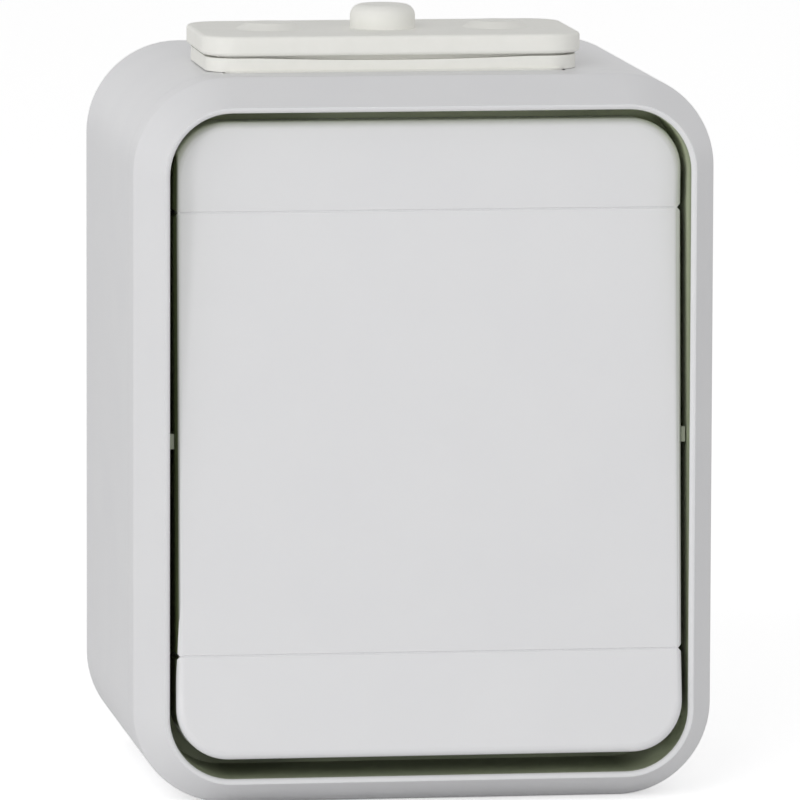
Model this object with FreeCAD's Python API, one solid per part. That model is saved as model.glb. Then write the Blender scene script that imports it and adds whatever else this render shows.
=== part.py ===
import FreeCAD, Part
import math
import os

# Surface-mounted weatherproof switch for outdoor use, built as its separate pieces.
# Lengths are in millimetres and angles in degrees. X runs to the right and Z up.
# The wall is the plane Y = 0 and the switch stands out towards -Y, so a "depth"
# below is the distance in front of the wall.

# Housing
body_width = 66.0
body_height = 82.2
body_depth = 53.0
corner_radius = 10.6
wall = 2.2
back_wall = 2.8
back_edge_chamfer = 0.5
bezel_depth = 6.0
cover_flank = 4.5
crease_round = 1.4
lip_width = 0.6
lip_round = 0.5
sleeve_wall = 1.2
sleeve_gap = 0.15
cover_skin = 1.0
tongue_gap = 0.1
tongue_height = 1.6
part_line_gap = 0.1

# Small lengths used all over: the gap where two pieces bear on each other, how far the
# blocks of one moulding run into each other, and how far a cutter runs past a face
seat_gap = 0.05
weld = 0.2
past = 1.0

# Recess behind the rocker
recess_depth = 11.6
floor_thickness = 1.6
floor_window_width = 26.0
floor_window_height = 34.0
floor_window_round = 2.0
window_rim_wall = 1.2
window_rim_height = 1.2
pivot_well_play = 0.8
pivot_well_wall = 1.4

# Cover gasket
gasket_thickness = 1.4
gasket_side_gap = 0.08

# Wall fixing and back face
wall_screw_hole = 4.5
wall_screw_inset_x = 5.4
wall_screw_inset_z = 7.3
screw_collar_wall = 2.0
screw_collar_height = 1.2
back_recess = 0.8
back_recess_border = 5.5
back_recess_round = 6.0
rear_knockout = 18.0
bottom_knockout = 16.0
bottom_knockout_setback = 14.5
drain_knockout = 5.0
drain_knockout_depth = 6.5
knockout_groove = 0.9
knockout_skin = 0.7

# Pillars inside the box
cover_pillar_diameter = 6.8
cover_pillar_inset = 5.9
cover_pillar_z = 19.0
strap_pillar_diameter = 7.2
strap_pillar_inset = 5.7
gusset_thickness = 1.2
gusset_reach = 4.5
gusset_share = 0.6
gusset_root = 0.5

# Screws
screw_diameter = 2.9
screw_play = 0.05
screw_head = 5.4
screw_head_height = 2.0
screw_slot = 0.8
screw_slot_depth = 0.9
screw_tip = 1.6
clearance_hole = 3.4
pilot_spare = 2.0
cover_screw_length = 13.0
strap_screw_length = 10.0
insert_screw_diameter = 2.2
insert_screw_head = 4.0
insert_screw_head_height = 1.5
insert_screw_length = 9.0
insert_screw_z = 6.0
insert_screw_play = 0.1

# Entry seal on the top wall, a little left of the middle
seal_offset = -2.7
seal_width = 43.2
seal_depth = 21.0
seal_round = 4.0
seal_plate = 2.25
seal_edge_round = 0.45
seal_groove = 0.25
seal_groove_inset = 1.6
seal_dip = 0.3
seal_dip_width = 31.0
seal_foot = 1.6
seal_foot_inset = 0.5
seal_flange_inset = 1.3
seal_lip = 1.4
seal_neck_inset = 2.1
seal_neck_gap = 0.1
seal_lip_gap = 0.3
nipple_diameter = 7.4
nipple_height = 2.7
nipple_round = 1.3
membrane_spacing = 26.0
membrane_diameter = 7.6
membrane_top = 5.0
membrane_rise = 0.7
membrane_skin = 0.8
membrane_wall = 0.6

# Rocker
rocker_side_gap = 0.7
rocker_end_gap = 1.75
rocker_setback = 1.45
rocker_pivot_reach = 11.0
rocker_tilt = 3.0
rocker_corner_round = 5.8
rocker_edge_round = 0.9
rocker_skin = 2.0
rocker_skirt_wall = 1.6
rocker_skirt = 6.6
band_height = 10.9
band_flare = 5.0
fold_rise = 0.75
band_groove_width = 0.6
band_groove_depth = 0.2
band_notch_depth = 0.5
band_notch_height = 1.0
cheek_wall = 2.0
cheek_height = 13.0
trunnion_diameter = 3.6
trunnion_play = 0.05
trunnion_shoulder = 1.0
side_rib_width = 1.7
side_rib_gap = 0.2
side_rib_setback = 0.8
rocker_rib = 1.2
rocker_rib_drop = 4.0
rocker_rib_spacing = 28.0
rocker_cross_rib_spacing = 44.0
pusher_wall = 1.8
pusher_width = 12.0
pusher_spacing = 22.0
pusher_play = 0.15

# Switch insert
toggle_pivot_setback = 5.2
toggle_reach = 4.0
toggle_width = 16.0
toggle_height = 28.0
toggle_plate = 1.8
toggle_pad = 0.6
toggle_pad_height = 5.0
toggle_cheek = 1.2
toggle_pin_diameter = 3.0
toggle_pin_play = 0.05
toggle_pin_wall = 0.7
toggle_side_gap = 0.3
toggle_hub_diameter = 6.4
plunger_diameter = 3.6
plunger_play = 0.05
plunger_tip_diameter = 2.8
plunger_guide = 4.2
plunger_travel = 0.8
stem_clearance = 1.2
spring_wire = 0.4
spring_turns = 5
spring_length = 5.3
hub_mouth_gap = 3.6
insert_side_wall = 3.0
insert_end_wall = 1.0
insert_round = 2.0
insert_side_gap = 0.7
insert_back_gap = 5.9
insert_setback = 4.5
strap_thickness = 1.0
strap_height = 24.0
strap_end_gap = 2.2
strap_round = 2.5
strap_window_width = 13.0
strap_window_height = 15.0
flange_thickness = 1.5
flange_inset = 0.5
post_wall = 2.4
post_side = 2.0
toggle_seal_wall = 1.6
toggle_seal_inset = 0.4

# Contacts and terminals
contact_pivot_drop = 8.4
contact_tilt = 4.0
contact_strip = 0.8
moving_contact_width = 5.0
contact_arm = 12.0
contact_reach = 10.5
contact_tip_diameter = 3.0
contact_tip_height = 0.7
contact_gap_play = 0.12
strip_width = 4.6
mechanism_play = 0.2
ear_thickness = 0.8
ear_height = 3.0
terminal_gap = 0.2
terminal_size = 7.0
terminal_wall = 0.9
terminal_rise = 8.0
terminal_wire = 3.6
terminal_screw_diameter = 2.9
terminal_screw_head = 4.4
terminal_screw_length = 4.8
earth_screw_length = 6.0
earth_x = 13.0
earth_inset = 5.0
earth_pedestal = 7.2
earth_block = 7.0

# Sizes that follow from the ones above
bezel_inset = wall + sleeve_gap + sleeve_wall
inner_width = body_width - 2 * wall
inner_height = body_height - 2 * wall
inner_round = corner_radius - wall
opening_width = body_width - 2 * bezel_inset
opening_height = body_height - 2 * bezel_inset
opening_round = corner_radius - bezel_inset
sleeve_width = opening_width + 2 * sleeve_wall
sleeve_height = opening_height + 2 * sleeve_wall
sleeve_round = opening_round + sleeve_wall
crease_depth = body_depth - bezel_depth
parting_depth = crease_depth - cover_flank
tongue_wall = wall - cover_skin - tongue_gap
tongue_front = parting_depth + tongue_height
groove_floor = tongue_front + seat_gap + gasket_thickness + seat_gap
floor_front = body_depth - recess_depth
floor_back = floor_front - floor_thickness
cover_screw_x = inner_width / 2 - cover_pillar_inset
strap_screw_x = inner_width / 2 - strap_pillar_inset
pilot_radius = screw_diameter / 2 + screw_play
toggle_pivot_depth = floor_front - toggle_pivot_setback
toggle_face_depth = toggle_pivot_depth + toggle_reach
strap_back = toggle_pivot_depth - insert_setback
strap_front = strap_back + strap_thickness
flange_front = strap_front + flange_thickness
contact_pivot_depth = strap_back - contact_pivot_drop
rocker_width = opening_width - 2 * rocker_side_gap
rocker_height = opening_height - 2 * rocker_end_gap
rocker_face = body_depth - rocker_setback
rocker_pivot_depth = rocker_face - rocker_pivot_reach
top_face = body_height / 2
terminal_z = contact_reach + strip_width / 2 + terminal_gap + terminal_size / 2
insert_width = 2 * (strap_screw_x - strap_pillar_diameter / 2 - insert_side_gap)
terminal_x = insert_width / 2 - insert_side_wall - terminal_size / 2
insert_back = back_wall + insert_back_gap
insert_height = 2 * (terminal_z + terminal_size / 2 + insert_end_wall)
moving_front = contact_pivot_depth + contact_strip
plunger_tip_depth = moving_front + seat_gap
strip_front = (contact_pivot_depth - contact_strip - contact_tip_height - contact_gap_play
               - contact_reach * math.sin(math.radians(contact_tilt)))
strip_back = strip_front - contact_strip
cavity_floor = strip_back - seat_gap


def point(x, depth, z):
    return FreeCAD.Vector(x, -depth, z)


def towards_front(length):
    return FreeCAD.Vector(0, -length, 0)


def rounded_outline(width, height, radius, depth, x=0.0, z=0.0):
    """A rectangle with round corners, standing parallel to the wall."""
    right, top = width / 2 - radius, height / 2 - radius
    slant = radius / math.sqrt(2)
    edges = []
    corners = ((right, top, 1, 1), (-right, top, -1, 1), (-right, -top, -1, -1), (right, -top, 1, -1))
    for index, (cx, cz, sx, sz) in enumerate(corners):
        side = (x + cx + sx * radius, z + cz)
        end = (x + cx, z + cz + sz * radius)
        if index % 2:
            side, end = end, side
        middle = (x + cx + sx * slant, z + cz + sz * slant)
        arc = Part.Arc(point(side[0], depth, side[1]), point(middle[0], depth, middle[1]),
                       point(end[0], depth, end[1]))
        edges.append((arc.toShape(), side, end))
    wire = []
    for index, (arc, side, end) in enumerate(edges):
        following = edges[(index + 1) % 4][1]
        wire.append(arc)
        wire.append(Part.makeLine(point(end[0], depth, end[1]), point(following[0], depth, following[1])))
    return Part.Wire(wire)


def prism(width, height, radius, back, front, x=0.0, z=0.0):
    """A round-cornered block between two depths."""
    face = Part.Face(rounded_outline(width, height, radius, back, x, z))
    return face.extrude(towards_front(front - back))


def ring(width, height, radius, thickness, back, front):
    """A closed band: the outer block less the same block made thinner all round."""
    inside = prism(width - 2 * thickness, height - 2 * thickness, radius - thickness,
                   back - past, front + past)
    return prism(width, height, radius, back, front).cut(inside)


def block(left, right, back, front, bottom, top):
    return Part.makeBox(right - left, front - back, top - bottom, FreeCAD.Vector(left, -front, bottom))


def rod(diameter, back, front, x, z):
    """A round bar square to the wall."""
    return Part.makeCylinder(diameter / 2, front - back, point(x, back, z), FreeCAD.Vector(0, -1, 0))


def side_rod(diameter, left, right, depth, z):
    """A round bar along X."""
    return Part.makeCylinder(diameter / 2, right - left, point(left, depth, z), FreeCAD.Vector(1, 0, 0))


def upright_rod(diameter, bottom, top, x, depth):
    """A round bar along Z."""
    return Part.makeCylinder(diameter / 2, top - bottom, point(x, depth, bottom), FreeCAD.Vector(0, 0, 1))


def plate(points, back, front):
    """A flat plate parallel to the wall, from its corners in X and Z."""
    corners = [point(x, back, z) for x, z in points]
    return Part.Face(Part.makePolygon(corners + corners[:1])).extrude(towards_front(front - back))


def side_plate(points, left, right):
    """A plate square to X, from its corners in depth and Z."""
    corners = [point(left, depth, z) for depth, z in points]
    return Part.Face(Part.makePolygon(corners + corners[:1])).extrude(FreeCAD.Vector(right - left, 0, 0))


def edges_at_depth(shape, depth):
    """The edges that lie wholly at one depth."""
    return [e for e in shape.Edges
            if abs(e.BoundBox.YMin + depth) < 1e-4 and abs(e.BoundBox.YMax + depth) < 1e-4]


def joined(pieces):
    whole = pieces[0]
    for piece in pieces[1:]:
        whole = whole.fuse(piece)
    return whole.removeSplitter()


def mirrored_in_x(shape):
    return shape.mirror(FreeCAD.Vector(0, 0, 0), FreeCAD.Vector(1, 0, 0))


def turned(shape, pivot_depth, angle):
    """The shape turned about an axis along X; a positive angle moves its lower end to the wall."""
    copy = shape.copy()
    copy.rotate(point(0, pivot_depth, 0), FreeCAD.Vector(1, 0, 0), angle)
    return copy


def gussets(x, z, diameter, back, front, directions):
    """Tapered webs that stiffen a pillar where it stands on the back wall."""
    webs = []
    height = (front - back) * gusset_share
    for dx, dz in directions:
        start = diameter / 2 - gusset_root
        reach = diameter / 2 + gusset_reach
        corners = [FreeCAD.Vector(start, 0, 0), FreeCAD.Vector(reach, 0, 0),
                   FreeCAD.Vector(start, -height, 0)]
        web = Part.Face(Part.makePolygon(corners + corners[:1]))
        web = web.extrude(FreeCAD.Vector(0, 0, gusset_thickness))
        web.translate(FreeCAD.Vector(0, 0, -gusset_thickness / 2))
        web.rotate(FreeCAD.Vector(0, 0, 0), FreeCAD.Vector(0, 1, 0), -math.degrees(math.atan2(dz, dx)))
        web.translate(point(x, back, z))
        webs.append(web)
    return webs


def cover_screw_places():
    """The two cover screws stand on a diagonal."""
    return [(-cover_screw_x, cover_pillar_z), (cover_screw_x, -cover_pillar_z)]


def wall_screw_places():
    x = inner_width / 2 - wall_screw_inset_x
    z = inner_height / 2 - wall_screw_inset_z
    return [(sx * x, sz * z) for sx in (-1, 1) for sz in (-1, 1)]


# Base box: the deep back half that is screwed to the wall
def make_base_box():
    shell = prism(body_width, body_height, corner_radius, 0, parting_depth)
    shell = shell.makeChamfer(back_edge_chamfer, edges_at_depth(shell, 0))
    cavity = prism(inner_width, inner_height, inner_round, back_wall, parting_depth + past)
    tongue = ring(inner_width + 2 * tongue_wall, inner_height + 2 * tongue_wall,
                  inner_round + tongue_wall, tongue_wall, parting_depth - weld, tongue_front)
    pieces = [shell.cut(cavity), tongue]
    for x, z in cover_screw_places():
        front = floor_back - seat_gap
        pieces.append(rod(cover_pillar_diameter, back_wall - weld, front, x, z))
        pieces += gussets(x, z, cover_pillar_diameter, back_wall - weld, front,
                          ((math.copysign(1, x), 0), (0, 1), (0, -1)))
    for side in (-1, 1):
        x = side * strap_screw_x
        pieces.append(rod(strap_pillar_diameter, back_wall - weld, strap_back, x, 0))
        pieces += gussets(x, 0, strap_pillar_diameter, back_wall - weld, strap_back, ((0, 1), (0, -1)))
    for x, z in wall_screw_places():
        collar = wall_screw_hole + 2 * screw_collar_wall
        pieces.append(rod(collar, back_wall - weld, back_wall + screw_collar_height, x, z))
    earth_z = earth_inset - inner_height / 2
    pieces.append(block(-earth_x - earth_block / 2, -earth_x + earth_block / 2,
                        back_wall - weld, back_wall + earth_pedestal,
                        earth_z - earth_block / 2, earth_z + earth_block / 2))
    box = joined(pieces)

    cuts = []
    for x, z in wall_screw_places():
        cuts.append(rod(wall_screw_hole, -past, back_wall + screw_collar_height + past, x, z))
    for x, z in cover_screw_places():
        cuts.append(rod(2 * pilot_radius, floor_front - cover_screw_length - pilot_spare, floor_back, x, z))
    for side in (-1, 1):
        cuts.append(rod(2 * pilot_radius, strap_front - strap_screw_length - pilot_spare, strap_back + past,
                        side * strap_screw_x, 0))
    cuts.append(rod(2 * pilot_radius, back_wall + past, back_wall + earth_pedestal + past, -earth_x, earth_z))

    # The back face bears on its rim, on a pad at each screw and on one at the cable entry
    recess = prism(body_width - 2 * back_recess_border, body_height - 2 * back_recess_border,
                   back_recess_round, -past, back_recess)
    for x, z in wall_screw_places():
        recess = recess.cut(rod(wall_screw_hole + 2 * screw_collar_wall, -2 * past, back_recess + past, x, z))
    recess = recess.cut(rod(rear_knockout + 2 * back_recess_border, -2 * past, back_recess + past, 0, 0))
    cuts.append(recess)

    # Each knock-out is a disc held by a thin skin inside a round groove
    rear = rod(rear_knockout + 2 * knockout_groove, -past, back_wall - knockout_skin, 0, 0)
    cuts.append(rear.cut(rod(rear_knockout, -2 * past, back_wall, 0, 0)))
    bottom = -body_height / 2
    for diameter, depth in ((bottom_knockout, parting_depth - bottom_knockout_setback),
                            (drain_knockout, drain_knockout_depth)):
        groove = upright_rod(diameter + 2 * knockout_groove, bottom - past, bottom + wall - knockout_skin,
                             0, depth)
        cuts.append(groove.cut(upright_rod(diameter, bottom - 2 * past, bottom + wall, 0, depth)))

    # Notch in the top wall, open to the front, that takes the entry seal
    notch_width = seal_width - 2 * seal_neck_inset
    notch_back = parting_depth - seal_depth + seal_neck_inset
    notch = block(seal_offset - notch_width / 2, seal_offset + notch_width / 2, notch_back,
                  tongue_front + past, inner_height / 2 - past, top_face + past)
    rear_edges = [e for e in notch.Edges
                  if abs(e.BoundBox.YMin + notch_back) < 1e-4 and e.BoundBox.ZLength > wall]
    cuts.append(notch.makeFillet(seal_round - seal_neck_inset, rear_edges))
    return box.cut(Part.makeCompound(cuts))


# Front cover: the sloping bezel with the recess for the rocker in one piece
def make_front_cover():
    flank = prism(body_width, body_height, corner_radius, parting_depth + part_line_gap, crease_depth)
    lip = opening_width + 2 * lip_width, opening_height + 2 * lip_width, opening_round + lip_width
    slope = Part.makeLoft([rounded_outline(body_width, body_height, corner_radius, crease_depth),
                           rounded_outline(lip[0], lip[1], lip[2], body_depth)], True, True)
    outside = joined([flank, slope])
    outside = outside.makeFillet(crease_round, edges_at_depth(outside, crease_depth))
    skin = cover_skin
    hollow = prism(body_width - 2 * skin, body_height - 2 * skin, corner_radius - skin,
                   parting_depth - past, groove_floor)
    sleeve = prism(sleeve_width, sleeve_height, sleeve_round, floor_back, groove_floor + weld)
    rim = prism(floor_window_width + 2 * window_rim_wall, floor_window_height + 2 * window_rim_wall,
                floor_window_round + window_rim_wall, floor_back, floor_front + window_rim_height)
    recess = prism(opening_width, opening_height, opening_round, floor_front, body_depth + past)
    cover = joined([outside.cut(hollow), sleeve]).cut(recess)
    lip_edges = [e for e in edges_at_depth(cover, body_depth)
                 if max(e.BoundBox.XMax, -e.BoundBox.XMin) < (opening_width + lip_width) / 2
                 and max(e.BoundBox.ZMax, -e.BoundBox.ZMin) < (opening_height + lip_width) / 2]
    cover = joined([cover.makeFillet(lip_round, lip_edges), rim] + pivot_wells(pivot_well_wall))
    cover = cover.cut(Part.makeCompound(pivot_wells(0)))
    window = prism(floor_window_width, floor_window_height, floor_window_round,
                   floor_back - past, floor_front + window_rim_height + past)
    pivot = trunnion_diameter + 2 * trunnion_play
    cuts = [window, side_rod(pivot, -sleeve_width / 2 - past, sleeve_width / 2 + past, rocker_pivot_depth, 0)]
    for x, z in cover_screw_places():
        cuts.append(rod(clearance_hole, floor_back - past, floor_front + past, x, z))
    return cover.cut(Part.makeCompound(cuts))


def pivot_wells(margin):
    """The two pockets in the floor for the rocker's cheeks, or with a margin the blocks around them."""
    heel = trunnion_diameter / 2 + trunnion_shoulder + pivot_well_play
    inner = rocker_width / 2 - cheek_wall - pivot_well_play - margin
    outer = sleeve_width / 2 if margin else opening_width / 2
    front = floor_front - weld if margin else floor_front + weld
    well = block(inner, outer, rocker_pivot_depth - heel - margin, front, -heel - margin, heel + margin)
    return [well, mirrored_in_x(well)]


# Gasket: soft ring in the cover's groove, pressed by the tongue of the base box
def make_cover_gasket():
    width = body_width - 2 * cover_skin - 2 * gasket_side_gap
    height = body_height - 2 * cover_skin - 2 * gasket_side_gap
    thickness = (width - sleeve_width) / 2 - gasket_side_gap
    return ring(width, height, corner_radius - cover_skin - gasket_side_gap, thickness,
                tongue_front + seat_gap, groove_floor - seat_gap)


def seal_layer(inset, bottom, top, front_inset=None):
    """One flat layer of the entry seal, round-cornered seen from above."""
    front_inset = inset if front_inset is None else front_inset
    width = seal_width - 2 * inset
    back = parting_depth - seal_depth + inset
    front = parting_depth - front_inset
    layer = block(seal_offset - width / 2, seal_offset + width / 2, back, front, bottom, top)
    corners = [e for e in layer.Edges if e.BoundBox.ZLength > top - bottom - 1e-6
               and e.BoundBox.XLength < 1e-6 and e.BoundBox.YLength < 1e-6]
    return layer.makeFillet(seal_round - inset, corners)


# Entry seal: soft stopper with a nipple and two closed membranes for the cables
def make_entry_seal():
    foot_top = top_face + seal_foot
    plate_bottom = foot_top + seal_groove
    plate_top = plate_bottom + seal_plate
    lid = seal_layer(0, plate_bottom, plate_top)
    rims = [e for e in lid.Edges if e.BoundBox.ZLength < 1e-6]
    lid = lid.makeFillet(seal_edge_round, rims)
    inner_top = inner_height / 2
    neck = seal_neck_inset + seal_neck_gap
    lip_inset = parting_depth - floor_back + seal_lip_gap
    layers = [
        lid,
        seal_layer(seal_groove_inset, foot_top - weld, plate_bottom + weld),
        seal_layer(seal_foot_inset, top_face + seat_gap, foot_top),
        seal_layer(neck, inner_top, top_face + weld, seat_gap),
        seal_layer(neck, inner_top - seal_lip, inner_top + weld, lip_inset + weld),
        seal_layer(seal_flange_inset, inner_top - seal_lip, inner_top - seat_gap, lip_inset),
        block(seal_offset + neck - seal_width / 2, seal_offset + seal_width / 2 - neck,
              parting_depth - past, tongue_front, inner_top, inner_top + tongue_wall),
    ]
    middle = parting_depth - seal_depth / 2
    nipple = upright_rod(nipple_diameter, plate_top - weld, plate_top + nipple_height, seal_offset, middle)
    nipple = nipple.makeFillet(nipple_round, [e for e in nipple.Edges
                                              if e.BoundBox.ZMin > plate_top + nipple_height - 1e-4])
    layers.append(nipple)
    for side in (-1, 1):
        layers.append(Part.makeCone(membrane_diameter / 2, membrane_top / 2, membrane_rise,
                                    point(seal_offset + side * membrane_spacing / 2, middle, plate_top)))
    seal = joined(layers)
    cuts = []
    for x, diameter, rise in ((0, nipple_diameter, nipple_height),
                              (-membrane_spacing / 2, membrane_diameter, 0),
                              (membrane_spacing / 2, membrane_diameter, 0)):
        cuts.append(upright_rod(diameter - 4 * membrane_wall, inner_top - seal_lip - past,
                                plate_top + rise - 2 * membrane_skin, seal_offset + x, middle))

    # The foot sags along its front edge, so the gap under the lid is widest in the middle
    half = seal_dip_width / 2
    sag_radius = (half ** 2 + seal_dip ** 2) / (2 * seal_dip)
    root = parting_depth - seal_groove_inset
    sag = rod(2 * sag_radius, root, parting_depth + past, seal_offset, foot_top - seal_dip + sag_radius)
    cuts.append(sag.common(block(seal_offset - half, seal_offset + half, root, parting_depth + past,
                                 foot_top - past, foot_top + seal_groove / 2)))
    return seal.cut(Part.makeCompound(cuts))


def fold_heights():
    """The lower and the upper fold line of the rocker's face, both a little high on it."""
    half_field = rocker_height / 2 - band_height
    return fold_rise - half_field, fold_rise + half_field


def rocker_side(drop, length):
    """The rocker's section seen from the side, drop below its face: the ends flare forwards."""
    slope = math.tan(math.radians(band_flare))
    low, high = fold_heights()
    face = rocker_face - drop
    back = rocker_face - rocker_skirt
    return [(back, -length / 2), (face + slope * (low + length / 2), -length / 2), (face, low),
            (face, high), (face + slope * (length / 2 - high), length / 2), (back, length / 2)]


# Rocker: one moulded cap with its ribs, pushers, cheeks and trunnions, level between its two ends
def make_level_rocker():
    half = rocker_width / 2
    outside = side_plate(rocker_side(0, rocker_height + 4 * past), -half - past, half + past)
    outline = prism(rocker_width, rocker_height, rocker_corner_round,
                    rocker_face - rocker_skirt, rocker_face + 4 * past)
    cap = outside.common(outline)
    front = [e for e in cap.Edges if e.BoundBox.YMax < -rocker_face + 0.01 + rocker_edge_round / 4
             and (abs(abs(e.CenterOfMass.x) - half) < rocker_corner_round
                  or abs(abs(e.CenterOfMass.z) - rocker_height / 2) < rocker_corner_round)
             and e.BoundBox.XLength < rocker_width - past]
    cap = cap.makeFillet(rocker_edge_round, front)

    inner_half = half - rocker_skirt_wall
    inside = side_plate(rocker_side(rocker_skin, rocker_height + 4 * past),
                        -inner_half - past, inner_half + past)
    inside = inside.common(prism(rocker_width - 2 * rocker_skirt_wall, rocker_height - 2 * rocker_skirt_wall,
                                 rocker_corner_round - rocker_skirt_wall,
                                 rocker_face - rocker_skirt - past, rocker_face + 4 * past))
    pieces = [cap.cut(inside)]

    under = rocker_face - rocker_skin
    for side in (-1, 1):
        x = side * rocker_rib_spacing / 2
        pieces.append(block(x - rocker_rib / 2, x + rocker_rib / 2, under - rocker_rib_drop, under + weld,
                            past - rocker_height / 2, rocker_height / 2 - past))
        z = side * rocker_cross_rib_spacing / 2
        pieces.append(block(past - half, half - past, under - rocker_rib_drop, under + weld,
                            z - rocker_rib / 2, z + rocker_rib / 2))
        z = side * pusher_spacing / 2
        pieces.append(block(-pusher_width / 2, pusher_width / 2, toggle_face_depth + pusher_play,
                            under + weld, z - pusher_wall / 2, z + pusher_wall / 2))
    web_front = (under + toggle_face_depth) / 2
    pieces.append(block(-rocker_rib / 2, rocker_rib / 2, web_front, under + weld,
                        -pusher_spacing / 2, pusher_spacing / 2))

    cheek_end = trunnion_diameter / 2 + trunnion_shoulder
    arm = side_plate([(under + weld, -cheek_height / 2), (under + weld, cheek_height / 2),
                      (rocker_pivot_depth, cheek_end), (rocker_pivot_depth, -cheek_end)],
                     half - cheek_wall, half)
    heel = side_rod(2 * cheek_end, half - cheek_wall, half, rocker_pivot_depth, 0)
    trunnion = side_rod(trunnion_diameter, half - cheek_wall, sleeve_width / 2 - seat_gap,
                        rocker_pivot_depth, 0)
    rib = block(half - weld, opening_width / 2 - side_rib_gap, rocker_pivot_depth,
                rocker_face - side_rib_setback, -side_rib_width / 2, side_rib_width / 2)
    for piece in (arm, heel, trunnion, rib):
        pieces.append(piece)
        pieces.append(mirrored_in_x(piece))
    cap = joined(pieces)

    cuts = []
    for z in fold_heights():
        low, high = z - band_groove_width / 2, z + band_groove_width / 2
        groove = side_plate([(rocker_face + weld, low), (rocker_face + weld, high),
                             (rocker_face - band_groove_depth, z)], -half - past, half + past)
        cuts.append(groove)
        edge, reach = half + seat_gap, band_notch_height / 2
        notch = plate([(edge, z - reach), (edge, z + reach), (half - band_notch_depth, z)],
                      rocker_face - rocker_skirt - past, rocker_face + past)
        cuts += [notch, mirrored_in_x(notch)]
    return cap.cut(Part.makeCompound(cuts))


# Toggle: the insert's own small rocker, with the plunger's guide on its back
def make_level_toggle():
    half = toggle_width / 2
    plate_front = toggle_face_depth - toggle_pad
    pieces = [prism(toggle_width, toggle_height, insert_round, plate_front - toggle_plate, plate_front)]
    for side in (-1, 1):
        z = side * pusher_spacing / 2
        pieces.append(block(-pusher_width / 2, pusher_width / 2, plate_front - weld, toggle_face_depth,
                            z - toggle_pad_height / 2, z + toggle_pad_height / 2))
        x = side * (half - toggle_cheek / 2)
        heel = toggle_pin_diameter / 2 + toggle_pin_wall
        pieces.append(block(x - toggle_cheek / 2, x + toggle_cheek / 2, toggle_pivot_depth,
                            plate_front - weld, -heel, heel))
        pieces.append(side_rod(2 * heel, x - toggle_cheek / 2, x + toggle_cheek / 2, toggle_pivot_depth, 0))
        pin_end = half + toggle_side_gap + post_wall
        left, right = sorted((side * (half - weld), side * pin_end))
        pieces.append(side_rod(toggle_pin_diameter, left, right, toggle_pivot_depth, 0))
    mouth = plunger_tip_depth + hub_mouth_gap
    pieces.append(rod(toggle_hub_diameter, mouth, plate_front - weld, 0, 0))
    bore_end = plunger_tip_depth + plunger_tip_diameter / 2 + plunger_guide + plunger_stem() + spring_length
    bore = rod(plunger_diameter + 2 * plunger_play, mouth - past, bore_end, 0, 0)
    return joined(pieces).cut(bore)


def plunger_stem():
    """Length of the thin stem between the round tip and the guided part."""
    return plunger_travel + stem_clearance


# Plunger: spring-loaded pin that rides on the moving contact
def make_level_plunger():
    centre = plunger_tip_depth + plunger_tip_diameter / 2
    shoulder = centre + plunger_stem()
    tip = Part.makeSphere(plunger_tip_diameter / 2, point(0, centre, 0))
    stem = rod(plunger_tip_diameter, centre, shoulder + weld, 0, 0)
    guide = rod(plunger_diameter, shoulder, shoulder + plunger_guide, 0, 0)
    return joined([tip, stem, guide])


def make_level_spring():
    start = plunger_tip_depth + plunger_tip_diameter / 2 + plunger_stem() + plunger_guide + spring_wire / 2
    height = spring_length - spring_wire - 2 * seat_gap
    radius = plunger_diameter / 2 - spring_wire
    helix = Part.makeHelix(height / spring_turns, height, radius)
    half = spring_wire / 2
    corners = [FreeCAD.Vector(radius + dx * half, 0, dz * half)
               for dx, dz in ((-1, -1), (1, -1), (1, 1), (-1, 1), (-1, -1))]
    coil = Part.Wire(helix).makePipeShell([Part.makePolygon(corners)], True, True)
    coil.rotate(FreeCAD.Vector(0, 0, 0), FreeCAD.Vector(1, 0, 0), 90)
    coil.translate(point(0, start + seat_gap, 0))
    return coil


# Moving contact: a see-saw strip that rocks on the edge of the common contact
def make_level_moving_contact():
    strip = block(-moving_contact_width / 2, moving_contact_width / 2, contact_pivot_depth, moving_front,
                  -contact_arm, contact_arm)
    ends = [e for e in strip.Edges if e.BoundBox.YLength > contact_strip - 1e-6
            and e.BoundBox.XLength < 1e-6 and e.BoundBox.ZLength < 1e-6]
    return strip.makeFillet(moving_contact_width / 4, ends)


def make_level_moving_tips():
    return [rod(contact_tip_diameter, contact_pivot_depth - contact_tip_height, contact_pivot_depth,
                0, side * contact_reach) for side in (-1, 1)]


def fixed_contact(side):
    """Flat strip under one end of the see-saw, with a tab that runs into its terminal."""
    half = strip_width / 2
    inner, outer = contact_reach - half, contact_reach + half
    left, right = terminal_x - half, terminal_x + half
    end = terminal_z + terminal_size / 2
    corners = [(-half, inner), (right, inner), (right, end), (left, end), (left, outer), (-half, outer)]
    return plate([(x, side * z) for x, z in corners], strip_back, strip_front)


def make_fixed_tips():
    return [rod(contact_tip_diameter, strip_front, strip_front + contact_tip_height,
                0, side * contact_reach) for side in (-1, 1)]


# Common contact: strip with the edge that the see-saw rocks on and two ears that keep it in place
def make_common_contact():
    half = strip_width / 2
    left, right = -terminal_x - half, -terminal_x + half
    end = -terminal_z - terminal_size / 2
    tab = [(left, half), (left, end), (right, end), (right, -half), (ear_outer(), -half), (ear_outer(), half)]
    pieces = [plate(tab, strip_back, strip_front)]
    edge = contact_pivot_depth - seat_gap
    pieces.append(block(-half, half, strip_front - weld, edge - contact_strip / 2,
                        -contact_strip / 2, contact_strip / 2))
    pieces.append(side_rod(contact_strip, -half, half, edge - contact_strip / 2, 0))
    for side in (-1, 1):
        left, right = sorted((side * ear_inner(), side * ear_outer()))
        pieces.append(block(left, right, strip_front - weld, moving_front + ear_height / 2,
                            -ear_height / 2, ear_height / 2))
    return joined(pieces)


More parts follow.
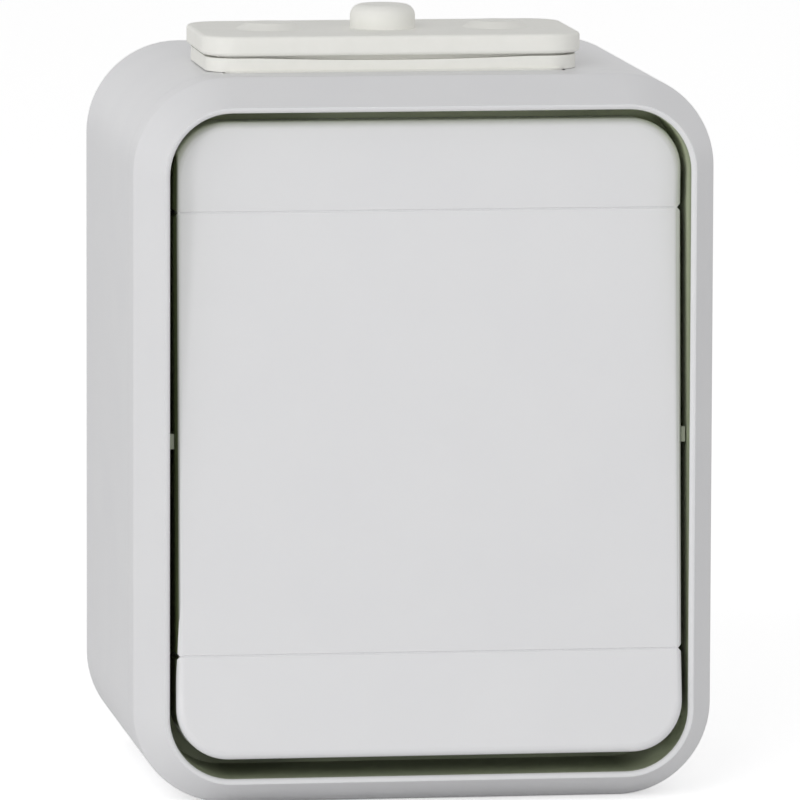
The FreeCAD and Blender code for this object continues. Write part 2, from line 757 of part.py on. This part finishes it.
def ear_inner():
    return moving_contact_width / 2 + mechanism_play


def ear_outer():
    return ear_inner() + ear_thickness


def terminal_places():
    return [(terminal_x, terminal_z), (terminal_x, -terminal_z), (-terminal_x, -terminal_z)]


def clamp_cage(x, z, back, front, wire_back):
    """Box clamp: open through along Z for the wire, with a tapped hole in front."""
    half = terminal_size / 2
    cage = block(x - half, x + half, back, front, z - half, z + half)
    wire = block(x - half + terminal_wall, x + half - terminal_wall, wire_back, wire_back + terminal_wire,
                 z - half - past, z + half + past)
    screw = rod(terminal_screw_diameter + 2 * screw_play, wire_back, front + past, x, z)
    return cage.cut(wire).cut(screw)


def cage_back():
    return strip_back - terminal_wall


def make_terminal_clamps():
    return [clamp_cage(x, z, cage_back(), cage_back() + terminal_rise, strip_back - seat_gap / 2)
            for x, z in terminal_places()]


def slotted_screw(x, z, seat, diameter, head, length, height=screw_head_height):
    """Cheese-head screw: the head's underside is at depth seat and the shank runs back from it."""
    cap = rod(head, seat, seat + height, x, z)
    straight = length - screw_tip
    shank = rod(diameter, seat - straight, seat + weld, x, z)
    tip = Part.makeCone(diameter / 2, diameter / 4, screw_tip, point(x, seat - straight, z),
                        FreeCAD.Vector(0, 1, 0))
    slot = block(x - head, x + head, seat + height - screw_slot_depth, seat + height + past,
                 z - screw_slot / 2, z + screw_slot / 2)
    return joined([cap, shank, tip]).cut(slot)


def make_terminal_screws():
    seat = cage_back() + terminal_rise + seat_gap
    return [slotted_screw(x, z, seat, terminal_screw_diameter, terminal_screw_head, terminal_screw_length)
            for x, z in terminal_places()]


def insert_screw_places():
    x = toggle_width / 2 + toggle_side_gap + insert_screw_play + insert_screw_head / 2
    return [(-x, insert_screw_z), (x, -insert_screw_z)]


def insert_screw_hole():
    return insert_screw_diameter + clearance_hole - screw_diameter


# Insert base: the moulded block that carries the contacts and terminals
def make_insert_base():
    body = prism(insert_width, insert_height, insert_round, insert_back, strap_back)
    play = mechanism_play
    half = strip_width / 2 + play
    open_front = strap_back + past
    cuts = [block(-ear_outer() - play, ear_outer() + play, cavity_floor, open_front,
                  -contact_arm - 2 * past, contact_arm + 2 * past)]
    for side in (-1, 1):
        low, high = sorted((side * (contact_reach - half), side * (contact_reach + half)))
        cuts.append(block(0, terminal_x + half, cavity_floor, open_front, low, high))
    cuts.append(block(-terminal_x - half, 0, cavity_floor, open_front, -half, half))
    cuts.append(block(-terminal_x - half, -terminal_x + half, cavity_floor, open_front, -terminal_z, half))
    pocket = terminal_size / 2 + play
    for x, z in terminal_places():
        side = 1 if z > 0 else -1
        low, high = sorted((side * (terminal_z - pocket), side * (insert_height / 2 + past)))
        cuts.append(block(x - pocket, x + pocket, cage_back() - seat_gap, open_front, low, high))
    for x, z in insert_screw_places():
        cuts.append(rod(insert_screw_diameter + 2 * screw_play, flange_front - insert_screw_length - past,
                        open_front, x, z))
    return body.cut(Part.makeCompound(cuts))


# Mounting strap: steel plate between insert base and insert cover, screwed to two pillars
def make_mounting_strap():
    length = inner_width - 2 * strap_end_gap
    strap = prism(length, strap_height, strap_round, strap_back, strap_front)
    cuts = [prism(strap_window_width, strap_window_height, 1.0, strap_back - past, strap_front + past)]
    for side in (-1, 1):
        cuts.append(rod(clearance_hole, strap_back - past, strap_front + past, side * strap_screw_x, 0))
    for x, z in insert_screw_places():
        cuts.append(rod(insert_screw_hole(), strap_back - past, strap_front + past, x, z))
    return strap.cut(Part.makeCompound(cuts))


# Insert cover: flange over the insert base with the two posts that hold the toggle
def make_insert_cover():
    width = insert_width - 2 * flange_inset
    height = insert_height - 2 * flange_inset
    flange = prism(width, height, insert_round, strap_back + seat_gap, flange_front)
    channel = block(-width, width, strap_back - past, strap_front + seat_gap,
                    -strap_height / 2 - mechanism_play, strap_height / 2 + mechanism_play)
    pieces = [flange.cut(channel)]
    inner = toggle_width / 2 + toggle_side_gap
    pin = toggle_pin_diameter / 2
    for side in (-1, 1):
        left, right = sorted((side * inner, side * (inner + post_wall)))
        reach = pin + post_side
        pieces.append(block(left, right, flange_front - weld, toggle_pivot_depth, -reach, reach))
        pieces.append(side_rod(2 * reach, left, right, toggle_pivot_depth, 0))
    cover = joined(pieces)
    cuts = [block(-inner, inner, strap_back - past, flange_front + past,
                  -toggle_height / 2, toggle_height / 2)]
    cuts.append(side_rod(toggle_pin_diameter + 2 * toggle_pin_play, -width, width, toggle_pivot_depth, 0))
    for x, z in terminal_places():
        cuts.append(rod(terminal_screw_head + 2 * mechanism_play, strap_back - past, flange_front + past,
                        x, z))
    for x, z in insert_screw_places():
        cuts.append(rod(insert_screw_hole(), strap_back - past, flange_front + past, x, z))
    return cover.cut(Part.makeCompound(cuts))


# Toggle seal: soft collar between the insert cover and the floor of the recess
def make_toggle_seal():
    width = insert_width - 2 * flange_inset - 2 * toggle_seal_inset
    height = insert_height - 2 * flange_inset - 2 * toggle_seal_inset
    return ring(width, height, insert_round, toggle_seal_wall, flange_front + seat_gap, floor_back - seat_gap)


def make_cover_screws():
    return [slotted_screw(x, z, floor_front + seat_gap, screw_diameter, screw_head, cover_screw_length)
            for x, z in cover_screw_places()]


def make_strap_screws():
    return [slotted_screw(side * strap_screw_x, 0, strap_front + seat_gap, screw_diameter, screw_head,
                          strap_screw_length) for side in (-1, 1)]


def make_insert_screws():
    return [slotted_screw(x, z, flange_front + seat_gap, insert_screw_diameter, insert_screw_head,
                          insert_screw_length, insert_screw_head_height)
            for x, z in insert_screw_places()]


def make_earth_terminal():
    z = earth_inset - inner_height / 2
    back = back_wall + earth_pedestal + seat_gap
    return clamp_cage(-earth_x, z, back, back + terminal_rise, back + terminal_wall)


def make_earth_screw():
    z = earth_inset - inner_height / 2
    seat = back_wall + earth_pedestal + 2 * seat_gap + terminal_rise
    return slotted_screw(-earth_x, z, seat, terminal_screw_diameter, terminal_screw_head, earth_screw_length)


def parts():
    """Every node with its solids. At rest the rocker's upper end is pressed in."""
    tilt = -rocker_tilt
    return {
        "base_box": make_base_box(),
        "front_cover": make_front_cover(),
        "cover_gasket": make_cover_gasket(),
        "entry_seal": make_entry_seal(),
        "rocker": turned(make_level_rocker(), rocker_pivot_depth, tilt),
        "toggle": turned(make_level_toggle(), toggle_pivot_depth, tilt),
        "plunger": turned(make_level_plunger(), toggle_pivot_depth, tilt),
        "plunger_spring": turned(make_level_spring(), toggle_pivot_depth, tilt),
        "moving_contact": turned(make_level_moving_contact(), contact_pivot_depth, contact_tilt),
        "moving_contact_tips": turned(Part.makeCompound(make_level_moving_tips()),
                                      contact_pivot_depth, contact_tilt),
        "common_contact": make_common_contact(),
        "upper_fixed_contact": fixed_contact(1),
        "lower_fixed_contact": fixed_contact(-1),
        "fixed_contact_tips": Part.makeCompound(make_fixed_tips()),
        "terminal_clamps": Part.makeCompound(make_terminal_clamps()),
        "terminal_screws": Part.makeCompound(make_terminal_screws()),
        "insert_base": make_insert_base(),
        "insert_cover": make_insert_cover(),
        "insert_screws": Part.makeCompound(make_insert_screws()),
        "mounting_strap": make_mounting_strap(),
        "strap_screws": Part.makeCompound(make_strap_screws()),
        "toggle_seal": make_toggle_seal(),
        "cover_screws": Part.makeCompound(make_cover_screws()),
        "earth_terminal": make_earth_terminal(),
        "earth_screw": make_earth_screw(),
    }


os.makedirs("parts", exist_ok=True)
for name, shape in parts().items():
    shape.exportStep("parts/" + name + ".step")
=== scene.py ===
import math

import bpy
from mathutils import Matrix, Vector


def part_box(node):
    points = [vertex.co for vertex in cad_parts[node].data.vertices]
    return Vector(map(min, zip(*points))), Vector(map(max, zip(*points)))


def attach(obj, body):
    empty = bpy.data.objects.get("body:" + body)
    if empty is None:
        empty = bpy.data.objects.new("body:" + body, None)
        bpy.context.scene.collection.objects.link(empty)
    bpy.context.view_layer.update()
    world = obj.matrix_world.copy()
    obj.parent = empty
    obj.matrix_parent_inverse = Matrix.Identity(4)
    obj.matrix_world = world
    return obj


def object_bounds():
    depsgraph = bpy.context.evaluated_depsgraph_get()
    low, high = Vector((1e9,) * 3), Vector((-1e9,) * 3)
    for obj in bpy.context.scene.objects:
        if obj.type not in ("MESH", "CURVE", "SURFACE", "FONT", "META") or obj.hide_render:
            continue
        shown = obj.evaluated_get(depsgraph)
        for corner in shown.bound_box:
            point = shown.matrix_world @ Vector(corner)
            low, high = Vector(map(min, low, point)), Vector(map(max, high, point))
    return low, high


# Weatherproof switch for a wall, dressed around its solids. Lengths are in metres: X runs
# to the right, Z up, and the front faces -Y with the wall plane at Y = 0.

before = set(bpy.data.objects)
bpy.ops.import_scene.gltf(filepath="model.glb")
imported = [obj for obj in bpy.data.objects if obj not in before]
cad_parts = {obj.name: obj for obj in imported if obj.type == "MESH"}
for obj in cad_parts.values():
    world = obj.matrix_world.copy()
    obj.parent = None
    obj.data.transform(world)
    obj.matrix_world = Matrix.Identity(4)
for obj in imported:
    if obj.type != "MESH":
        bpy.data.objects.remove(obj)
solid_low, solid_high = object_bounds()

MM = 0.001

# The photograph's camera: the point it looks at, its place round the switch in degrees and
# metres, how many pixels a millimetre takes, and how many pixels to the right of and below
# the picture's middle that point lies
frame_pixels = 800
aim_depth = 46.5 * MM
camera_azimuth = -8.3
camera_elevation = 7.35
camera_roll = 0.2
camera_distance = 1.15
pixels_per_mm = 8.865
centre_right = 22.9
centre_down = 37.7
sensor_mm = 36.0
camera_near = 0.01
camera_far = 20.0

# Studio: the light of the world, the floor's half side, its room under the switch and its
# glow for the camera, and soft square lamps by name, place, side in metres and power in watts
world_strength = 0.48
floor_half = 3.0
floor_gap = 0.05 * MM
floor_glow = 0.5
lamps = (
    ("key_lamp", (-0.45, -0.9, 0.55), 0.5, 2.3),
    ("left_lamp", (-1.0, -0.3, 0.2), 0.5, 0.75),
    ("low_left_lamp", (-0.8, -0.7, 0.05), 0.18, 1.5),
    ("right_lamp", (0.7, -0.8, 0.2), 0.4, 1.05),
)

# The front frame's opening, and how far behind its front edge the painted shade on the recess walls turns
# from dark olive to a paler painted light in pale green
opening_half_width = 29.45 * MM
opening_half_height = 37.55 * MM
opening_corner = 7.05 * MM
opening_front = 52.6 * MM
painted_shade_depth = 4 * MM

# The rocker's flanks, which carry painted shade: where they are, how wide the painted shadow strip at the
# left one is, and how wide its soft edge
rocker_half_width = 28.75 * MM
flank_front = 52.4 * MM
painted_shadow_width = 0.55 * MM
shade_edge = 0.25 * MM

# Room by which a tone reaches past the wall that it is meant for
wall_spare = 0.05 * MM

# Threads: points to a turn and sides of a ridge, the share of the thread that swells at each
# end, where it starts under the head, what it leaves free at the tip, and ridge over pitch
thread_steps = 20
thread_sides = 4
thread_runout = 0.08
thread_start = 1.0 * MM
thread_end = 0.5 * MM
ridge_share = 0.26

# Screws by node, in millimetres: head diameter and height, shank, pitch, and the corners of
# the node's box that they stand in
screw_kinds = (
    ("cover_screws", 5.4, 2.0, 2.9, 1.1, ((-1, 1), (1, -1))),
    ("strap_screws", 5.4, 2.0, 2.9, 1.1, ((-1, 0), (1, 0))),
    ("insert_screws", 4.0, 1.5, 2.2, 0.8, ((-1, 1), (1, -1))),
    ("terminal_screws", 4.4, 2.0, 2.9, 0.6, ((-1, -1), (1, -1), (1, 1))),
    ("earth_screw", 4.4, 2.0, 2.9, 0.6, ((0, 0),)),
)


class Value:
    """One socket of a node tree. Arithmetic on it adds Math nodes."""

    def __init__(self, nodes, socket):
        self.nodes = nodes
        self.socket = socket

    def _math(self, operation, first, second):
        return self.nodes.node("ShaderNodeMath", {"operation": operation}, {0: first, 1: second})

    def __add__(self, other):
        return self._math("ADD", self, other)

    __radd__ = __add__

    def __sub__(self, other):
        return self._math("SUBTRACT", self, other)

    def __rsub__(self, other):
        return self._math("SUBTRACT", other, self)

    def __mul__(self, other):
        return self._math("MULTIPLY", self, other)

    __rmul__ = __mul__

    def __truediv__(self, other):
        return self._math("DIVIDE", self, other)

    def __lt__(self, other):
        return self._math("LESS_THAN", self, other)

    def __gt__(self, other):
        return self._math("GREATER_THAN", self, other)

    def __abs__(self):
        return self._math("ABSOLUTE", self, 0)

    def most(self, other):
        return self._math("MAXIMUM", self, other)

    def least(self, other):
        return self._math("MINIMUM", self, other)


class Nodes:
    """A node tree to which any node is added by its type, its settings and its sockets."""

    def __init__(self, tree):
        self.tree = tree

    def node(self, kind, settings=None, sockets=None, output=0):
        made = self.tree.nodes.new(kind)
        for name, value in (settings or {}).items():
            if name == "stops":
                for element, (position, tone) in zip(made.color_ramp.elements, value):
                    element.position = position
                    element.color = tone
            else:
                setattr(made, name, value)
        for name, value in (sockets or {}).items():
            if isinstance(value, Value):
                self.tree.links.new(value.socket, made.inputs[name])
            else:
                made.inputs[name].default_value = value
        return Value(self, made.outputs[output])

    def end(self, kind, value):
        """Leads a value to the surface that the tree's output node of this kind shows."""
        self.tree.links.new(value.socket, self.tree.nodes[kind].inputs["Surface"])


class Finish(Nodes):
    """A material whose numbers that are the same all over sit on the shader itself."""

    def __init__(self, name, **surface):
        self.material = bpy.data.materials.new(name)
        self.material.use_nodes = True
        super().__init__(self.material.node_tree)
        self.shader = self.tree.nodes["Principled BSDF"]
        for socket, value in surface.items():
            label = socket.replace("_", " ").title().replace("Ior", "IOR")
            self.shader.inputs[label].default_value = value
        self.place = self.node("ShaderNodeTexCoord", output="Object")

    def axes(self):
        parts = self.node("ShaderNodeSeparateXYZ", None, {0: self.place})
        return [Value(self, output) for output in parts.socket.node.outputs]

    def noise(self, size, detail=2.0, roughness=0.5):
        """Cloudy noise whose patches are about size metres across."""
        return self.node("ShaderNodeTexNoise", None, {
            "Vector": self.place, "Scale": 1 / size, "Detail": detail, "Roughness": roughness}, "Fac")

    def streaks(self, size, stretch, detail=3.0):
        """Noise that is squeezed by stretch along each axis, and so runs in streaks."""
        squeezed = self.node("ShaderNodeMapping", None, {"Vector": self.place, "Scale": stretch})
        return self.node("ShaderNodeTexNoise", None, {
            "Vector": squeezed, "Scale": 1 / size, "Detail": detail}, "Fac")

    def mix(self, share, first, second):
        """A colour between two others, through the colour sockets of a Mix node."""
        return self.node("ShaderNodeMix", {"data_type": "RGBA"}, {0: share, 6: first, 7: second}, 2)

    def feed(self, socket, value):
        self.tree.links.new(value.socket, self.shader.inputs[socket])

    def relief(self, height, strength, depth):
        """Fine relief of the surface, depth in metres."""
        self.feed("Normal", self.node("ShaderNodeBump", None, {
            "Height": height, "Strength": strength, "Distance": depth}))

    def grain(self, size, depth, roughness, spread=0.1, strength=0.25, broken=0.6):
        """The mould's fine grain: it spreads the roughness upwards and stands out as relief."""
        fine = self.noise(size, roughness=broken)
        self.feed("Roughness", roughness + spread * fine)
        self.relief(fine, strength, depth)


def colour(red, green, blue):
    """A colour from its written values of 0 to 255, for the shader's linear scale."""
    def linear(value):
        share = value / 255
        return share / 12.92 if share <= 0.04045 else ((share + 0.055) / 1.055) ** 2.4
    return (linear(red), linear(green), linear(blue), 1.0)


white = colour(255, 255, 255)
black = colour(0, 0, 0)
floor_tone = colour(248, 248, 248)
housing_light = colour(231, 231, 232)
housing_dark = colour(226, 226, 228)


def moulded_finish(name, light, dark, roughness, grain_size, grain_depth):
    """Satin moulded plastic: spark-eroded grain with faint clouding from the mould's flow."""
    finish = Finish(name, specular_ior_level=0.4)
    clouds = finish.noise(9 * MM, detail=3.0)
    finish.feed("Base Color", finish.mix(clouds, dark, light))
    finish.grain(grain_size, grain_depth, roughness)
    return finish


def frame_finish():
    """The front frame: as the box, with painted shade on the walls of its recess, dark olive at the front
    edge and paling behind it to a pale green painted light. The wall below the rocker has one painted
    shade, up to its round corners."""
    finish = Finish("front_frame_plastic", specular_ior_level=0.4)
    clouds = finish.noise(9 * MM, detail=3.0)
    outside = finish.mix(clouds, housing_dark, housing_light)
    x, y, z = finish.axes()
    past_x = (abs(x) - (opening_half_width - opening_corner)).most(0)
    past_z = (abs(z) - (opening_half_height - opening_corner)).most(0)
    within = past_x * past_x + past_z * past_z < (opening_corner + wall_spare) ** 2
    recess = within * (y > -opening_front)
    # Painted shade and painted light in the recess: dark olive at the front edge, pale green further back
    # to lift the shadow there
    painted_light_share = ((y + opening_front) / painted_shade_depth).most(0).least(1)
    edge = finish.mix(finish.noise(6 * MM), colour(118, 128, 96), colour(126, 136, 104))
    wall = finish.mix(painted_light_share, edge, colour(236, 244, 214))
    # Painted shade on the wall below the rocker, in one olive tone
    painted_sill_shade = finish.mix(finish.noise(6 * MM), colour(148, 156, 128), colour(160, 168, 142))
    painted_lower_shade = finish.mix(past_x / opening_corner, painted_sill_shade, wall)
    painted_recess_shade_and_light = finish.mix(z > 0, painted_lower_shade, wall)
    finish.feed("Base Color", finish.mix(recess, outside, painted_recess_shade_and_light))
    finish.grain(0.35 * MM, 0.02 * MM, roughness=0.4)
    return finish


def rocker_finish():
    """The rocker: smoother than the box, with painted shade on its flanks in dark olive and a paler painted
    shade on the ribs there. On the left the painted shade runs a little onto the rounded edge as a painted
    shadow of the frame."""
    finish = Finish("rocker_plastic", specular_ior_level=0.4)
    clouds = finish.noise(11 * MM, detail=3.0)
    face = finish.mix(clouds, colour(229, 229, 231), colour(233, 233, 234))
    x, y, _ = finish.axes()
    # Painted shadow of the frame: a dark strip along the left flank and onto its rounded edge
    left = ((painted_shadow_width - rocker_half_width - x) / shade_edge).most(0).least(1)
    right = x > rocker_half_width - wall_spare
    flank = left.most(right) * (y > -flank_front)
    rib = abs(x) > rocker_half_width + wall_spare
    # Painted shade in the gap: dark olive on the flanks, paler olive on the ribs
    painted_flank_shade = finish.mix(rib, colour(66, 74, 48), colour(163, 168, 152))
    finish.feed("Base Color", finish.mix(flank, face, painted_flank_shade))
    finish.grain(0.25 * MM, 0.012 * MM, roughness=0.33)
    return finish


def seal_finish():
    """Cream elastomer with faint mottling and a soft bloom."""
    finish = Finish("seal_rubber", specular_ior_level=0.35)
    mottling = finish.noise(2.2 * MM, detail=4.0, roughness=0.6)
    finish.feed("Base Color", finish.mix(mottling, colour(238, 238, 232), colour(245, 244, 239)))
    finish.grain(0.2 * MM, 0.015 * MM, roughness=0.5, spread=0.15, strength=0.2, broken=0.5)
    return finish


def metal_finish(name, bright, dull, roughness, stretch, spread=0.16):
    """Rolled or turned metal: faint streaks along one direction."""
    finish = Finish(name, metallic=1.0)
    streaks = finish.streaks(0.4 * MM, stretch)
    finish.feed("Base Color", finish.mix(streaks, dull, bright))
    finish.feed("Roughness", roughness - spread / 2 + spread * streaks)
    finish.relief(streaks, strength=0.15, depth=0.01 * MM)
    return finish


def speckled_finish(name, ground, speck, roughness):
    """Pressed thermoset with its filler showing as faint specks."""
    finish = Finish(name, specular_ior_level=0.45)
    specks = finish.noise(0.5 * MM, detail=1.0)
    share = finish.node("ShaderNodeValToRGB", {"stops": [(0.58, black), (0.72, white)]}, {0: specks})
    finish.feed("Base Color", finish.mix(share, ground, speck))
    finish.grain(0.3 * MM, 0.015 * MM, roughness, strength=0.2, broken=0.5)
    return finish


box_plastic = moulded_finish("box_plastic", housing_light, housing_dark, 0.4, 0.35 * MM, 0.02 * MM)
toggle_plastic = moulded_finish("toggle_plastic", colour(236, 236, 232), colour(230, 230, 226), 0.35,
                                0.3 * MM, 0.015 * MM)
gasket_rubber = moulded_finish("gasket_rubber", colour(84, 87, 84), colour(74, 77, 75), 0.6,
                               0.2 * MM, 0.02 * MM)
insert_plastic = speckled_finish("insert_plastic", colour(205, 205, 198), colour(190, 189, 180), 0.45)
zinc_steel = metal_finish("zinc_steel", colour(214, 217, 220), colour(188, 192, 196), 0.32, (1, 1, 12))
brass = metal_finish("brass", colour(212, 178, 104), colour(190, 152, 82), 0.3, (12, 1, 1))
silver = metal_finish("silver_tip", colour(232, 232, 230), colour(214, 214, 212), 0.25, (1, 1, 1))
seal_rubber = seal_finish()
frame_plastic = frame_finish()
rocker_plastic = rocker_finish()

finish_of = {
    "base_box": box_plastic, "front_cover": frame_plastic, "cover_gasket": gasket_rubber,
    "entry_seal": seal_rubber, "rocker": rocker_plastic, "toggle": toggle_plastic, "plunger": brass,
    "plunger_spring": zinc_steel, "moving_contact": brass, "moving_contact_tips": silver,
    "common_contact": brass, "upper_fixed_contact": brass, "lower_fixed_contact": brass,
    "fixed_contact_tips": silver, "terminal_clamps": brass, "terminal_screws": zinc_steel,
    "insert_base": insert_plastic, "insert_cover": insert_plastic, "insert_screws": zinc_steel,
    "mounting_strap": zinc_steel, "strap_screws": zinc_steel, "toggle_seal": gasket_rubber,
    "cover_screws": zinc_steel, "earth_terminal": brass, "earth_screw": zinc_steel,
}
for node, finish in finish_of.items():
    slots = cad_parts[node].data.materials
    if not len(slots):
        slots.append(finish.material)
    for k in range(len(slots)):
        slots[k] = finish.material


def thread_tree():
    """Geometry nodes that wind one thread at each point of the object they are put on."""
    tree = bpy.data.node_groups.new("screw_threads", "GeometryNodeTree")
    sizes = ("Shank Radius", "Ridge", "Turns", "Length", "Start")
    tree.interface.new_socket("Seats", in_out="INPUT", socket_type="NodeSocketGeometry")
    for name in sizes:
        tree.interface.new_socket(name, in_out="INPUT", socket_type="NodeSocketFloat")
    tree.interface.new_socket("Finish", in_out="INPUT", socket_type="NodeSocketMaterial")
    tree.interface.new_socket("Threads", in_out="OUTPUT", socket_type="NodeSocketGeometry")
    nodes = Nodes(tree)
    given = nodes.node("NodeGroupInput").socket.node.outputs
    radius, ridge, turns, length, start = (Value(nodes, given[name]) for name in sizes)
    seats, finish = Value(nodes, given["Seats"]), Value(nodes, given["Finish"])
    spiral = nodes.node("GeometryNodeCurveSpiral", None, {
        "Resolution": thread_steps, "Rotations": turns, "Start Radius": radius, "End Radius": radius,
        "Height": length})
    upright = nodes.node("GeometryNodeSetCurveNormal", {"mode": "Z_UP"}, {"Curve": spiral})
    profile = nodes.node("GeometryNodeCurvePrimitiveCircle", None, {
        "Resolution": thread_sides, "Radius": ridge})
    along = nodes.node("GeometryNodeSplineParameter", output="Factor")
    swell = (along / thread_runout).least((1 - along) / thread_runout).least(1)
    thread = nodes.node("GeometryNodeCurveToMesh", None, {
        "Curve": upright, "Profile Curve": profile, "Scale": swell, "Fill Caps": True})
    lift = nodes.node("ShaderNodeCombineXYZ", None, {"Z": start})
    raised = nodes.node("GeometryNodeTransform", None, {"Geometry": thread, "Translation": lift})
    wound = nodes.node("GeometryNodeInstanceOnPoints", None, {
        "Points": seats, "Instance": raised, "Rotation": (-math.pi / 2, 0, 0)})
    real = nodes.node("GeometryNodeRealizeInstances", None, {0: wound})
    flat = nodes.node("GeometryNodeSetShadeSmooth", None, {"Geometry": real, "Shade Smooth": False})
    finished = nodes.node("GeometryNodeSetMaterial", None, {"Geometry": flat, "Material": finish})
    result = tree.nodes.new("NodeGroupOutput")
    tree.links.new(finished.socket, result.inputs[0])
    return tree


def wind_threads():
    """One piece of threads for each kind of screw, from the places of the solid screws."""
    tree = thread_tree()
    inputs = {item.name: item.identifier for item in tree.interface.items_tree if item.in_out == "INPUT"}
    for node, head, head_height, shank, pitch, corners in screw_kinds:
        low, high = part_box(node)
        reach_x = (high[0] - low[0]) / 2 - head * MM / 2
        reach_z = (high[2] - low[2]) / 2 - head * MM / 2
        middle_x, middle_z = (low[0] + high[0]) / 2, (low[2] + high[2]) / 2
        seat = low[1] + head_height * MM
        places = bpy.data.meshes.new(node + "_seats")
        places.from_pydata([(middle_x + side_x * reach_x, seat, middle_z + side_z * reach_z)
                            for side_x, side_z in corners], [], [])
        holder = bpy.data.objects.new(node + "_seats", places)
        bpy.context.scene.collection.objects.link(holder)
        length = high[1] - seat - thread_start - thread_end
        winding = holder.modifiers.new("threads", "NODES")
        winding.node_group = tree
        for name, value in (("Shank Radius", shank * MM / 2), ("Ridge", ridge_share * pitch * MM),
                            ("Turns", length / (pitch * MM)), ("Length", length),
                            ("Start", thread_start), ("Finish", zinc_steel.material)):
            winding[inputs[name]] = value
        evaluated = holder.evaluated_get(bpy.context.evaluated_depsgraph_get())
        mesh = bpy.data.meshes.new_from_object(evaluated)
        holder.modifiers.remove(winding)
        bpy.data.objects.remove(holder)
        mesh.name = node + "_threads"
        threads = bpy.data.objects.new(node + "_threads", mesh)
        bpy.context.scene.collection.objects.link(threads)
        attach(threads, "housing")


def make_floor():
    """A pale matt floor that glows for the camera alone, so that it looks white round its shadow."""
    mesh = bpy.data.meshes.new("floor")
    level = solid_low.z - floor_gap
    corners = ((-1, -1), (1, -1), (1, 1), (-1, 1))
    mesh.from_pydata([(x * floor_half, y * floor_half, level) for x, y in corners], [], [(0, 1, 2, 3)])
    floor = bpy.data.objects.new("floor", mesh)
    bpy.context.scene.collection.objects.link(floor)
    paint = Finish("floor_paint", base_color=floor_tone, roughness=0.9, specular_ior_level=0.1)
    seen = paint.node("ShaderNodeLightPath", output="Is Camera Ray")
    glow = paint.node("ShaderNodeEmission", None, {"Strength": seen * floor_glow})
    matt = Value(paint, paint.shader.outputs[0])
    paint.end("Material Output", paint.node("ShaderNodeAddShader", None, {0: matt, 1: glow}))
    mesh.materials.append(paint.material)


def make_world():
    """An even light, with a white backdrop where the camera, a reflection or glass looks."""
    world = bpy.data.worlds.new("studio")
    bpy.context.scene.world = world
    world.use_nodes = True
    nodes = Nodes(world.node_tree)
    light = world.node_tree.nodes["Background"]
    light.inputs["Color"].default_value = white
    light.inputs["Strength"].default_value = world_strength
    backdrop = nodes.node("ShaderNodeBackground", None, {"Color": white})
    rays = nodes.node("ShaderNodeLightPath").socket.node.outputs
    seen = Value(nodes, rays["Is Camera Ray"])
    for ray in ("Is Glossy Ray", "Is Transmission Ray"):
        seen = seen.most(Value(nodes, rays[ray]))
    nodes.end("World Output", nodes.node("ShaderNodeMixShader", None, {
        0: seen, 1: Value(nodes, light.outputs[0]), 2: backdrop}))


def make_lamp(name, place, side, power):
    """A square soft lamp that points at the switch."""
    data = bpy.data.lights.new(name, "AREA")
    data.shape = "SQUARE"
    data.size = side
    data.energy = power
    lamp = bpy.data.objects.new(name, data)
    lamp.location = place
    lamp.rotation_mode = "QUATERNION"
    lamp.rotation_quaternion = Vector(place).to_track_quat("Z", "Y")
    bpy.context.scene.collection.objects.link(lamp)


def make_camera():
    """The camera first looks straight at its target, then turns to put it where the picture has it."""
    azimuth, elevation, roll = (math.radians(a) for a in (camera_azimuth, camera_elevation, camera_roll))
    back = Vector((math.sin(azimuth) * math.cos(elevation), -math.cos(azimuth) * math.cos(elevation),
                   math.sin(elevation)))
    right = (-back).cross(Vector((0, 0, 1))).normalized()
    up = right.cross(-back)
    right, up = (math.cos(roll) * right + math.sin(roll) * up, math.cos(roll) * up - math.sin(roll) * right)
    target = Vector((0, -aim_depth, 0))
    place = target + back * camera_distance
    aim = target - right * (centre_right / pixels_per_mm * MM) + up * (centre_down / pixels_per_mm * MM)
    back = (place - aim).normalized()
    right = up.cross(back).normalized()
    up = back.cross(right)
    data = bpy.data.cameras.new("camera")
    data.sensor_width = sensor_mm
    data.lens = pixels_per_mm / MM * camera_distance * sensor_mm / frame_pixels
    data.clip_start, data.clip_end = camera_near, camera_far
    camera = bpy.data.objects.new("camera", data)
    camera.matrix_world = Matrix((
        (right.x, up.x, back.x, place.x), (right.y, up.y, back.y, place.y),
        (right.z, up.z, back.z, place.z), (0, 0, 0, 1)))
    bpy.context.scene.collection.objects.link(camera)
    bpy.context.scene.camera = camera


make_world()
make_floor()
for lamp_settings in lamps:
    make_lamp(*lamp_settings)
make_camera()
wind_threads()
bpy.context.scene.view_settings.view_transform = "Standard"
